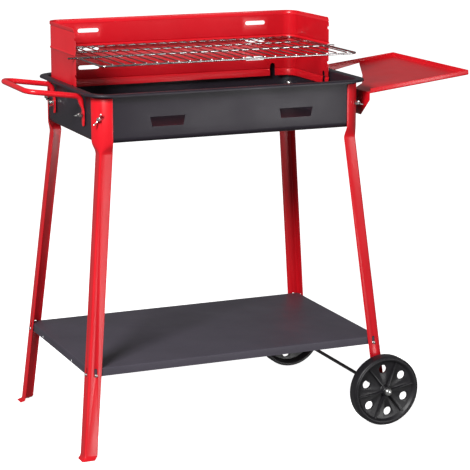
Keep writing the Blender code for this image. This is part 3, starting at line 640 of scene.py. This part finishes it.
def makeShelf():
    levels = [(0, shelf["topZ"] - shelf["flange"])]
    for i in range(6):
        angle = math.radians(90 * i / 5)
        inset = shelf["fold"] * (1 - math.cos(angle))
        levels.append((inset, shelf["topZ"] - shelf["fold"] * (1 - math.sin(angle))))
    rows = []
    for inset, z in levels:
        outline = roundedLoop(shelf["halfX"] - inset, shelf["halfY"] - inset, shelf["corner"] - inset, 6)
        rows.append([(x, y, z) for x, y in outline][::-1])
    shape = sheetShape(rows, shelf["sheet"], ring=True, floor=True)
    cuts = []
    for side in sides.values():
        cuts += [holeShape(*screw, shelf["screwHole"]) for screw in shelfScrews(*side).values()]
    for y in shelf["spareHoles"]:
        place = Vector((-shelf["halfX"], y, shelf["screwZ"]))
        cuts.append(holeShape(place, Vector((1, 0, 0)), shelf["spareHole"]))
    mesh = booleanMesh(shape, cuts, "DIFFERENCE")
    addPiece("lowerShelf", mesh, shelfEnamelWithPaintedSheen, "trolley", ["lower_shelf"])


# Windshield

shield = {
    "sheet": 0.001, "halfX": 0.3025, "backY": 0.168, "frontY": -0.030, "corner": 0.028,
    "topZ": 0.900, "lowZ": 0.746, "clip": 0.012, "hem": 0.008, "hemStep": 0.0015,
    "beads": (0.762, 0.842), "bead": 0.002, "beadHalf": 0.0035,
    "slot": (0.050, 0.009), "slotX": 0.206, "slotsZ": (0.789, 0.8315, 0.8725),
    "notch": (0.014, 0.0064), "notchesZ": (0.797, 0.8365, 0.876),
    "footSlot": (0.060, 0.013), "footSlotX": 0.2514, "footSlotY": -0.006,
    "hookX": 0.150, "hookWidth": 0.012, "hookSheet": 0.0015, "hookDrop": 0.012, "hookReach": 0.0233,
}


def shieldPath(grow):
    halfX, backY, corner = shield["halfX"] + grow, shield["backY"] + grow, shield["corner"] + grow
    path = [(halfX, shield["frontY"])]
    path += [(halfX, shield["frontY"] + (backY - corner - shield["frontY"]) * i / 6) for i in range(1, 6)]
    path += arcPoints((halfX - corner, backY - corner), corner, 0, 90, 12)
    path += [((halfX - corner) * (1 - i / 8), backY) for i in range(1, 16)]
    path += arcPoints((corner - halfX, backY - corner), corner, 90, 180, 12)
    path += [(-halfX, backY - corner + (shield["frontY"] - backY + corner) * i / 6) for i in range(1, 7)]
    return path


def shieldLevels():
    step, topZ = shield["hemStep"], shield["topZ"]
    hemZ = topZ - shield["hem"]
    levels = [
        (step * 0.4, topZ), (step, topZ - 0.0008), (step, hemZ + 0.001), (step * 0.5, hemZ),
        (-0.0006, hemZ - 0.0014), (-0.0004, hemZ - 0.0024), (0, hemZ - 0.0036),  # the crease under the hem
    ]
    for z in reversed(shield["beads"]):
        for i in range(7):
            t = i / 3 - 1
            swell = shield["bead"] * (0.5 + 0.5 * math.cos(math.pi * t))
            levels.append((swell, z - t * shield["beadHalf"]))
    return [*levels, (0, shield["lowZ"])]


def shieldCuts():
    cuts = []
    for side in (-1, 1):
        for z in shield["slotsZ"]:
            cuts.append((shield["slot"], (side * shield["slotX"], shield["backY"], z), faceFront))
        for z in shield["notchesZ"]:
            cuts.append((shield["notch"], (side * shield["halfX"], shield["frontY"], z), faceEnd))
        backFoot = (side * shield["footSlotX"], shield["backY"], shield["lowZ"])
        sideFoot = (side * shield["halfX"], shield["footSlotY"], shield["lowZ"])
        cuts.append((shield["footSlot"], backFoot, faceFront @ quarterTurn))
        cuts.append((shield["footSlot"], sideFoot, faceEnd @ quarterTurn))
    made = []
    for size, place, turn in cuts:
        made.append(plateShape(slotOutline(*size), cutDepth, Matrix.Translation(place) @ turn))
    # The clipped corner at the top of each wing
    y, z, clip = shield["frontY"], shield["topZ"], shield["clip"]
    past = clip / 3
    outline = [(y - past, z + past), (y - past, z - clip), (y, z - clip), (y + clip, z + past)]
    for side in (-1, 1):
        wing = Matrix.Translation((side * shield["halfX"], 0, 0))
        made.append(plateShape(outline, cutDepth, wing @ faceEnd))
    return made


def makeShield():
    rows = [[(x, y, z) for x, y in shieldPath(step)] for step, z in shieldLevels()]
    shape = sheetShape(rows, shield["sheet"])
    shape = shapeObject("shield", booleanMesh(shape, shieldCuts(), "DIFFERENCE"))
    hooks = []
    for side in (-1, 1):
        near = side * shield["hookX"] - shield["hookWidth"] / 2
        far = side * shield["hookX"] + shield["hookWidth"] / 2
        rimY = bowl["halfY"] + shield["hookReach"]
        low = bowl["rimZ"] + touchGap
        high = (far, rimY + shield["hookSheet"], low + shield["hookSheet"])
        over = blockShape((near, shield["backY"] - shield["sheet"] / 2, low), high)
        down = blockShape((near, rimY, low - shield["hookDrop"]), high)
        hooks.append(shapeObject("hook", booleanMesh(over, [down], "UNION")))
    mesh = booleanMesh(shape, hooks, "UNION")
    addPiece("windshield", mesh, redEnamel, "windshield", ["windshield"])


# Cooking grate

grate = {
    "z": 0.8365, "halfX": 0.297, "frontY": -0.185, "backY": 0.160, "corner": 0.015, "frameWire": 0.0022,
    "restY": -0.026, "restReach": 0.318, "crossY": 0.070, "crossDrop": 0.0005,
    "bars": 23, "barWire": 0.0014, "prongStep": 0.012, "prongEnd": (0.178, 0.830),
}


def makeGrate():
    middleY = (grate["backY"] + grate["frontY"]) / 2
    outline = roundedLoop(grate["halfX"], (grate["backY"] - grate["frontY"]) / 2, grate["corner"], 8)
    loop = [(x, y + middleY, grate["z"]) for x, y in outline]
    wires = [tubeShape(loop, grate["frameWire"], 12, closed=True)]
    crossZ = grate["z"] - grate["crossDrop"]
    for y, reach in ((grate["restY"], grate["restReach"]), (grate["crossY"], grate["halfX"])):
        wires.append(rodShape((-reach, y, crossZ), (reach, y, crossZ), grate["frameWire"], 14))
    barZ = grate["z"] + grate["frameWire"] + grate["barWire"] / 4
    for i in range(grate["bars"]):
        x = grate["halfX"] * (2 * (i + 1) / (grate["bars"] + 1) - 1)
        wires.append(rodShape((x, grate["frontY"], barZ), (x, grate["backY"], barZ), grate["barWire"], 10))
    for x in (shield["slotX"] - grate["prongStep"], shield["slotX"] + grate["prongStep"]):
        for side in (-1, 1):
            root = (side * x, grate["backY"], grate["z"] - grate["barWire"])
            wires.append(rodShape(root, (side * x, *grate["prongEnd"]), grate["barWire"], 10))
    mesh = booleanMesh(wires[0], wires[1:], "UNION")
    addPiece("cookingGrate", mesh, chromeWire, "grate", ["cooking_grate"], smooth=60)


# Side tray

tray = {
    "nearX": 0.3335, "nearZ": 0.7445, "length": 0.2504, "tilt": math.radians(6.6), "halfY": 0.182,
    "edge": 0.011, "sheet": 0.0012, "fold": 0.0025, "relief": 0.005, "boltY": 0.095, "boltZ": 0.722,
    "cutout": ((0.1555, 0.182), (0.087, 0.030), (0.040, -0.060), (0.0, -0.100)),
    "lug": ((0.182, 0.729), (0.135, 0.691), (0.075, 0.691), (0.075, 0.725), (0.100, 0.7445)),
}


def trayPoint(along, y, up):
    cos, sin = math.cos(tray["tilt"]), math.sin(tray["tilt"])
    return (tray["nearX"] + along * cos - up * sin, y, tray["nearZ"] + along * sin + up * cos)


def makeTray():
    work = bmesh.new()
    frontY, backY, length, edge = -tray["halfY"], tray["halfY"], tray["length"], tray["edge"]
    near = work.verts.new(trayPoint(0, frontY, 0))
    relief = work.verts.new(trayPoint(0, frontY + tray["relief"], 0))
    far = work.verts.new(trayPoint(length, frontY, 0))
    back = work.verts.new(trayPoint(length, backY, 0))
    inner = [work.verts.new(trayPoint(along, y, 0)) for along, y in tray["cutout"]]
    nearTop = work.verts.new(trayPoint(0, frontY, edge))
    farTop = work.verts.new(trayPoint(length, frontY, edge))
    backTop = work.verts.new(trayPoint(length, backY, edge))
    armTop = work.verts.new(trayPoint(0, backY, edge))
    frontLug = [work.verts.new((tray["nearX"], -y, z)) for y, z in tray["lug"][:-1]]
    frontLug[0].co.y = relief.co.y
    armTop.co.x = tray["nearX"] - tray["sheet"]
    backLug = [work.verts.new((armTop.co.x, y, z)) for y, z in tray["lug"]]
    work.faces.new((near, relief, *inner[::-1], back, far))
    work.faces.new((near, far, farTop, nearTop))
    work.faces.new((far, back, backTop, farTop))
    work.faces.new((back, inner[0], backLug[0], armTop, backTop))
    work.faces.new((relief, *frontLug, inner[-1]))
    work.faces.new((armTop, *backLug))
    pairs = [
        (near, far), (far, back), (back, inner[0]), (far, farTop), (back, backTop),
        (relief, inner[-1]), (armTop, backLug[0]),
    ]
    folds = [work.edges.get(pair) for pair in pairs]
    bmesh.ops.bevel(work, geom=folds, offset=tray["fold"], segments=5, profile=0.5, affect="EDGES")
    mesh = bpy.data.meshes.new("tray")
    work.to_mesh(mesh)
    work.free()
    shape = shapeObject("tray", mesh)
    step = shape.modifiers.new("thick", "SOLIDIFY")
    step.thickness = tray["sheet"]
    step.offset = -1
    step.use_even_offset = True
    shape = shapeObject("tray", settledMesh(shape))
    cuts = []
    for sy in ends.values():
        place, outward = trayBolt(sy)
        place.x = tray["nearX"]
        cuts.append(holeShape(place, outward, bowl["boltHole"]))
    mesh = softEdges(booleanMesh(shape, cuts, "DIFFERENCE"), 0.0003, 2, 50)
    addPiece("sideTray", mesh, redEnamel, "trolley", ["side_tray"], smooth=50)


# Wheels and axle

wheel = {
    "radius": 0.080, "faceY": 0.2705, "width": 0.030, "hubOut": 0.004, "hubIn": 0.0401, "bore": 0.00408,
    "tyre": 0.009, "dish": 0.008, "web": 0.006, "spokes": 6, "turn": 8, "rib": 0.0026, "ribStart": 0.0085,
    "ribRise": 0.0012, "ribEndZ": -0.0042, "hole": 0.010, "holeRing": 0.0505,
    "washer": (0.0043, 0.008, 0.0012), "washerY": 0.2285,
    "capY": 0.2749, "capRadius": 0.009, "capHeight": 0.0096,
    "axle": 0.004, "axleTip": 0.0006, "axleEndY": 0.2785,
}


def wheelMesh():
    # From the hub's outer end over the web and tyre, then back along the inner side
    radius, width, bore, dish = wheel["radius"], wheel["width"], wheel["bore"], -wheel["dish"]
    hubOut, hubIn = wheel["hubOut"], -wheel["hubIn"]
    rim = radius - wheel["tyre"]
    webLow = dish - wheel["web"]
    profile = [
        (bore, hubOut), (0.0095, hubOut), (0.0108, hubOut - 0.0012), (0.0125, dish + 0.001), (0.0138, dish),
        (rim - 0.006, dish), (rim - 0.0045, dish + 0.0006), (rim - 0.0015, -0.0016), (rim, -0.0004),
        (rim + 0.001, 0), (radius - 0.0055, 0), (radius - 0.0045, -0.0010), (radius - 0.0038, -0.0010),
        (radius - 0.0028, -0.0002),
        (radius - 0.0014, -0.0010), (radius - 0.0002, -0.0030), (radius, -0.0050),
        (radius, 0.0050 - width), (radius - 0.0002, 0.0030 - width), (radius - 0.0014, 0.0010 - width),
        (radius - 0.0028, -width), (rim + 0.002, -width), (rim - 0.002, 0.004 - width),
        (rim - 0.005, webLow), (0.0145, webLow), (0.0125, hubIn + 0.001), (0.0115, hubIn), (bore, hubIn),
    ]
    shape = shapeObject("wheel", turnedMesh(profile, 96, hollow=True))
    ribs, cuts = [], []
    start, end, foot = wheel["ribStart"], rim - 0.001, dish - 0.002
    outline = [(start, foot), (end, foot), (end, wheel["ribEndZ"]), (start, wheel["ribRise"])]
    for i in range(wheel["spokes"]):
        turn = Matrix.Rotation(math.radians(360 * i / wheel["spokes"] + wheel["turn"]), 4, "Z")
        ribs.append(plateShape(outline, wheel["rib"], turn @ faceFront))
        turn = turn @ Matrix.Rotation(math.radians(180 / wheel["spokes"]), 4, "Z")
        place = turn @ Vector((wheel["holeRing"], 0, dish))
        cuts.append(holeShape(place, Vector((0, 0, 1)), wheel["hole"], 40))
    shape = shapeObject("wheel", booleanMesh(shape, ribs, "UNION"))
    boreRod = rodShape((0, 0, hubIn - 0.01), (0, 0, 0.02), bore, 48)
    mesh = booleanMesh(shape, [*cuts, boreRod], "DIFFERENCE")
    return softEdges(mesh, 0.0005, 2, 40)


def capMesh():
    bore, depth = wheel["washer"][0], wheel["axleEndY"] - wheel["capY"] + touchGap
    radius, height = wheel["capRadius"], wheel["capHeight"]
    dome = [(0, height)]
    for i in range(1, 10):
        angle = math.radians(90 - 10 * i)
        dome.append((radius * 0.97 * math.cos(angle), height * (0.28 + 0.72 * math.sin(angle))))
    skirt = [(radius, height * 0.22), (radius, 0.0006), (radius - 0.0005, 0)]
    blindBore = [(bore, 0), (bore, depth), (0, depth)]
    return turnedMesh([*dome, *skirt, *blindBore], 48)


def makeWheels():
    wheelData, capData = wheelMesh(), capMesh()
    bore, radius, thick = wheel["washer"]
    edge = [(radius - 0.0002, thick), (radius, thick - 0.0002), (radius, 0)]
    washerProfile = [(bore, thick), *edge, (bore, 0)]
    washerData = turnedMesh(washerProfile, 40, hollow=True)
    centre = Vector((axleX, 0, axleZ))
    for end, sy in ends.items():
        outward = Vector((0, sy, 0))
        label = end.title()
        place = outwardPlace(centre + outward * wheel["faceY"], outward)
        body, nodes = f"{end}_wheel", [f"wheel_{end}"]
        addPiece("wheel" + label, wheelData, blackPlastic, body, nodes, place, 35)
        place = outwardPlace(centre + outward * wheel["washerY"], outward)
        addFastener("washer" + label, washerData, f"wheel_washer_{end}", place, 40)
        place = outwardPlace(centre + outward * wheel["capY"], outward)
        addFastener("axleCap" + label, capData, f"axle_cap_{end}", place, 40)
    reach, thick, tip = wheel["axleEndY"], wheel["axle"], wheel["axleTip"]
    half = [(0, reach), (thick - tip, reach), (thick, reach - tip)]
    axleData = turnedMesh([*half, *[(radius, -z) for radius, z in half[::-1]]], 32)
    place = Matrix.Translation(centre) @ facing((0, 1, 0))
    addPiece("wheelAxle", axleData, darkSteel, "trolley", ["axle"], place)


# Fasteners, all built along +Z

fastener = {
    "m6": 0.003, "pitch": 0.001, "thread": 0.012, "chamfer": 0.0007,
    "headRadius": 0.0065, "headRise": 0.0034,
    "reach": {"leg": 0.0135, "handle": 0.0165, "tray": 0.0385}, "legHeadGap": 0.001,
    "m4": 0.002, "screwPitch": 0.0007, "screwPlain": 0.004, "screwReach": 0.0105, "headGap": 0.0007,
    "crossLong": 0.0019, "crossThin": 0.0004, "crossLowZ": 0.0014, "crossHighZ": 0.003,
    "nutBore": 0.0033, "wingSheet": 0.002, "spacer": 0.005, "hexNut": (0.00404, 0.0032, 0.0023),
    "handleGrip": 0.0049,
    "hub": (
        (0.0033, 0.0075), (0.0040, 0.0075), (0.0044, 0.0068), (0.0051, 0.0010),
        (0.0051, 0.0004), (0.0047, 0), (0.0033, 0),
    ),
    # One wing, from the hub's foot out to its tip and back along the top
    "ear": (
        (0.0037, 0.0006), (0.0065, 0.0010), (0.0092, 0.0022), (0.0118, 0.0042), (0.0141, 0.0068),
        (0.0156, 0.0096), (0.0160, 0.0118), (0.0157, 0.0132), (0.0146, 0.0139), (0.0131, 0.0138),
        (0.0116, 0.0128), (0.0096, 0.0106), (0.0076, 0.0083), (0.0055, 0.0071), (0.0037, 0.0068),
    ),
    "screwHead": (
        (0.0, 0.0024), (0.0018, 0.0024), (0.0027, 0.0022), (0.0034, 0.0016),
        (0.00375, 0.0008), (0.00375, 0.0),
    ),
    "legTwist": {"front_left": 55, "front_right": -20, "back_left": 35, "back_right": 80},
    "handleTwist": {"front": 15, "back": -30}, "trayTwist": {"front": 40, "back": 70}, "screwTwist": 20,
}


def threadProfile(radius, top, bottom, pitch):
    # Ridges all the way down, as rings
    profile = []
    z = top
    while z - pitch > bottom:
        crest = [(radius, z - pitch * 0.35), (radius, z - pitch * 0.6)]
        profile += [*crest, (radius - pitch * 0.45, z - pitch)]
        z -= pitch
    return profile


def boltMesh(headGap, reach):
    # A round-headed bolt: its tip is at the top, its head inside the bowl
    base = -bowl["sheet"] - headGap
    radius, threadEnd = fastener["m6"], reach - fastener["thread"]
    headRadius, headRise = fastener["headRadius"], fastener["headRise"]
    brim = base - 0.0004
    thread = threadProfile(radius, reach - 0.0002, threadEnd, fastener["pitch"])
    profile = [(0, reach), (radius - fastener["chamfer"], reach), *thread, (radius, threadEnd - 0.0005)]
    profile += [(radius, base), (headRadius - 0.0001, base), (headRadius, brim)]
    for i in range(1, 8):
        angle = math.radians(90 * i / 8)
        profile.append((headRadius * math.cos(angle), brim - headRise * math.sin(angle)))
    return turnedMesh([*profile, (0, brim - headRise)], 32)


def wingNutMesh():
    parts = [shapeObject("hub", turnedMesh(fastener["hub"], 32, hollow=True))]
    for side in (-1, 1):
        outline = [(side * x, z) for x, z in fastener["ear"]]
        parts.append(plateShape(outline, fastener["wingSheet"], faceFront))
    return softEdges(booleanMesh(parts[0], parts[1:], "UNION"), 0.0005, 3, 40)


def screwMesh():
    radius, reach, plain = fastener["m4"], fastener["screwReach"], fastener["screwPlain"]
    thread = threadProfile(radius, -plain, -reach + 0.0004, fastener["screwPitch"])
    shank = [(radius, 0), (radius, -plain), *thread, (radius - 0.0004, -reach), (0, -reach)]
    head = shapeObject("screw", turnedMesh([*fastener["screwHead"], *shank], 28))
    long, thin = fastener["crossLong"], fastener["crossThin"]
    lowZ, highZ = fastener["crossLowZ"], fastener["crossHighZ"]
    cross = [
        blockShape((-long, -thin, lowZ), (long, thin, highZ)),
        blockShape((-thin, -long, lowZ), (thin, long, highZ)),
    ]
    return booleanMesh(head, cross, "DIFFERENCE")


def hexNutMesh():
    radius, thick, bore = fastener["hexNut"]
    nut = rodShape((0, 0, 0), (0, 0, thick), radius, 6)
    mesh = booleanMesh(nut, [rodShape((0, 0, -thick), (0, 0, 2 * thick), bore, 24)], "DIFFERENCE")
    return softEdges(mesh, 0.0003, 2, 40)


def addFastener(label, mesh, node, place, smooth=35):
    addPiece(label, mesh, zincPlate, "trolley", [node], place, smooth)


def spacerMesh(length):
    bore, outer, soft = fastener["nutBore"], fastener["spacer"], touchGap
    side = [(outer - soft, length), (outer, length - soft), (outer, soft), (outer - soft, 0)]
    return turnedMesh([(bore, length), *side, (bore, 0)], 32, hollow=True)


def makeLegFasteners(nut):
    bolt = boltMesh(fastener["legHeadGap"], fastener["reach"]["leg"])
    for name, side in sides.items():
        label = name.title().replace("_", "")
        place, outward = legBolt(*side)
        addFastener("legBolt" + label, bolt, f"leg_bolt_{name}", outwardPlace(place, outward))
        base = place + outward * (2 * touchGap + leg["sheet"])
        nutPlace = outwardPlace(base, outward, fastener["legTwist"][name])
        addFastener("legNut" + label, nut, f"leg_wing_nut_{name}", nutPlace)


def makeEndFasteners(nut):
    # The handle's bolts at one end of the bowl, and the tray's at the other
    handleData = boltMesh(touchGap, fastener["reach"]["handle"])
    trayData = boltMesh(touchGap, fastener["reach"]["tray"])
    trayGrip = tray["nearX"] - bowl["halfX"] + touchGap
    spacer = spacerMesh(trayGrip - tray["sheet"] - 3 * touchGap)
    for end, sy in ends.items():
        label = end.title()
        place, outward = handleBolt(sy)
        addFastener("handleBolt" + label, handleData, f"handle_bolt_{end}", outwardPlace(place, outward))
        base = place + outward * fastener["handleGrip"]
        nutPlace = outwardPlace(base, outward, fastener["handleTwist"][end])
        addFastener("handleNut" + label, nut, f"handle_wing_nut_{end}", nutPlace)
        place, outward = trayBolt(sy)
        addFastener("trayBolt" + label, trayData, f"tray_bolt_{end}", outwardPlace(place, outward))
        spacerPlace = outwardPlace(place + outward * touchGap, outward)
        addFastener("traySpacer" + label, spacer, f"tray_spacer_{end}", spacerPlace)
        nutPlace = outwardPlace(place + outward * trayGrip, outward, fastener["trayTwist"][end])
        addFastener("trayNut" + label, nut, f"tray_wing_nut_{end}", nutPlace)


def makeShelfFasteners():
    screw, hexNut = screwMesh(), hexNutMesh()
    inside = shelf["sheet"] + touchGap
    for name, (sx, sy) in sides.items():
        for where, (place, outward) in shelfScrews(sx, sy).items():
            label = name.title().replace("_", "") + where.title()
            seat = place + outward * fastener["headGap"]
            screwPlace = outwardPlace(seat, outward, fastener["screwTwist"])
            addFastener("shelfScrew" + label, screw, f"shelf_screw_{name}_{where}", screwPlace)
            base = place.copy()
            if where == "end":
                base.x = sx * (shelf["halfX"] - inside)
            else:
                base.y = sy * (shelf["halfY"] - inside)
            nutPlace = outwardPlace(base, -outward)
            addFastener("shelfNut" + label, hexNut, f"shelf_nut_{name}_{where}", nutPlace)


makeBowl()
print("bowl ready")
for legName, legSide in sides.items():
    makeLeg(legName, *legSide)
print("legs ready")
makeShelf()
makeShield()
print("shelf and windshield ready")
makeGrate()
makeTray()
makeHandle()
print("grate, tray and handle ready")
makeWheels()
wingNut = wingNutMesh()
makeLegFasteners(wingNut)
makeEndFasteners(wingNut)
makeShelfFasteners()
print("wheels and fasteners ready")


# Floor, light and camera

studio = {
    "floorSize": 60, "floorWhite": (0.92, 0.94), "floorGlow": 0.97, "sky": 0.18, "aim": (0, 0, 0.75),
    # Each lamp: its power, its size and its place
    "lamps": {
        "key": (150, 1.0, (-2.3, -2.1, 2.4)),
        "fill": (58, 1.5, (2.0, -3.9, 0.45)),
        "top": (3, 2.0, (0.0, 0.9, 2.8)),
    },
}
view = {"place": (-1.5518, -3.8216, 1.332), "yaw": 0.4043, "pitch": 0.2188, "lens": 142.24, "sensor": 36}


def makeFloor():
    finish, tree, shader, where = startFinish("studioFloor")
    first, second = ((white,) * 3 for white in studio["floorWhite"])
    colour = colourBetween(tree, noiseAt(tree, where, 3, 2), first, second)
    tree.links.new(colour, shader.inputs["Base Color"])
    shader.inputs["Roughness"].default_value = 0.9
    shader.inputs["Emission Color"].default_value = (1, 1, 1, 1)
    shader.inputs["Emission Strength"].default_value = studio["floorGlow"]
    half = studio["floorSize"] / 2
    mesh = bpy.data.meshes.new("studioFloor")
    corners = [(-half, -half, 0), (half, -half, 0), (half, half, 0), (-half, half, 0)]
    mesh.from_pydata(corners, [], [(0, 1, 2, 3)])
    mesh.materials.append(finish)
    ground = shapeObject("studioFloor", mesh)
    ground.visible_diffuse = False  # the floor is seen, but lights and mirrors nothing
    ground.visible_glossy = False


def makeLight(name, power, size, place):
    data = bpy.data.lights.new(name, "AREA")
    data.energy = power
    data.size = size
    lamp = shapeObject(name, data)
    lamp.location = place
    lamp.visible_camera = False
    lamp.rotation_euler = (Vector(studio["aim"]) - Vector(place)).to_track_quat("-Z", "Y").to_euler()


def makeCamera():
    data = bpy.data.cameras.new("studioCamera")
    data.lens = view["lens"]
    data.sensor_width = view["sensor"]
    eye = shapeObject("studioCamera", data)
    eye.location = Vector(view["place"]) + Vector((bowlMidX, 0, 0))
    eye.rotation_euler = (math.pi / 2 - view["pitch"], 0, -view["yaw"])
    bpy.context.scene.camera = eye


makeFloor()
for lampName, lamp in studio["lamps"].items():
    makeLight(lampName, *lamp)
world = bpy.data.worlds.new("studioAir")
world.use_nodes = True
world.node_tree.nodes["Background"].inputs["Color"].default_value = (1, 1, 1, 1)
world.node_tree.nodes["Background"].inputs["Strength"].default_value = studio["sky"]
bpy.context.scene.world = world
bpy.context.scene.view_settings.view_transform = "Standard"
makeCamera()
print("studio ready")
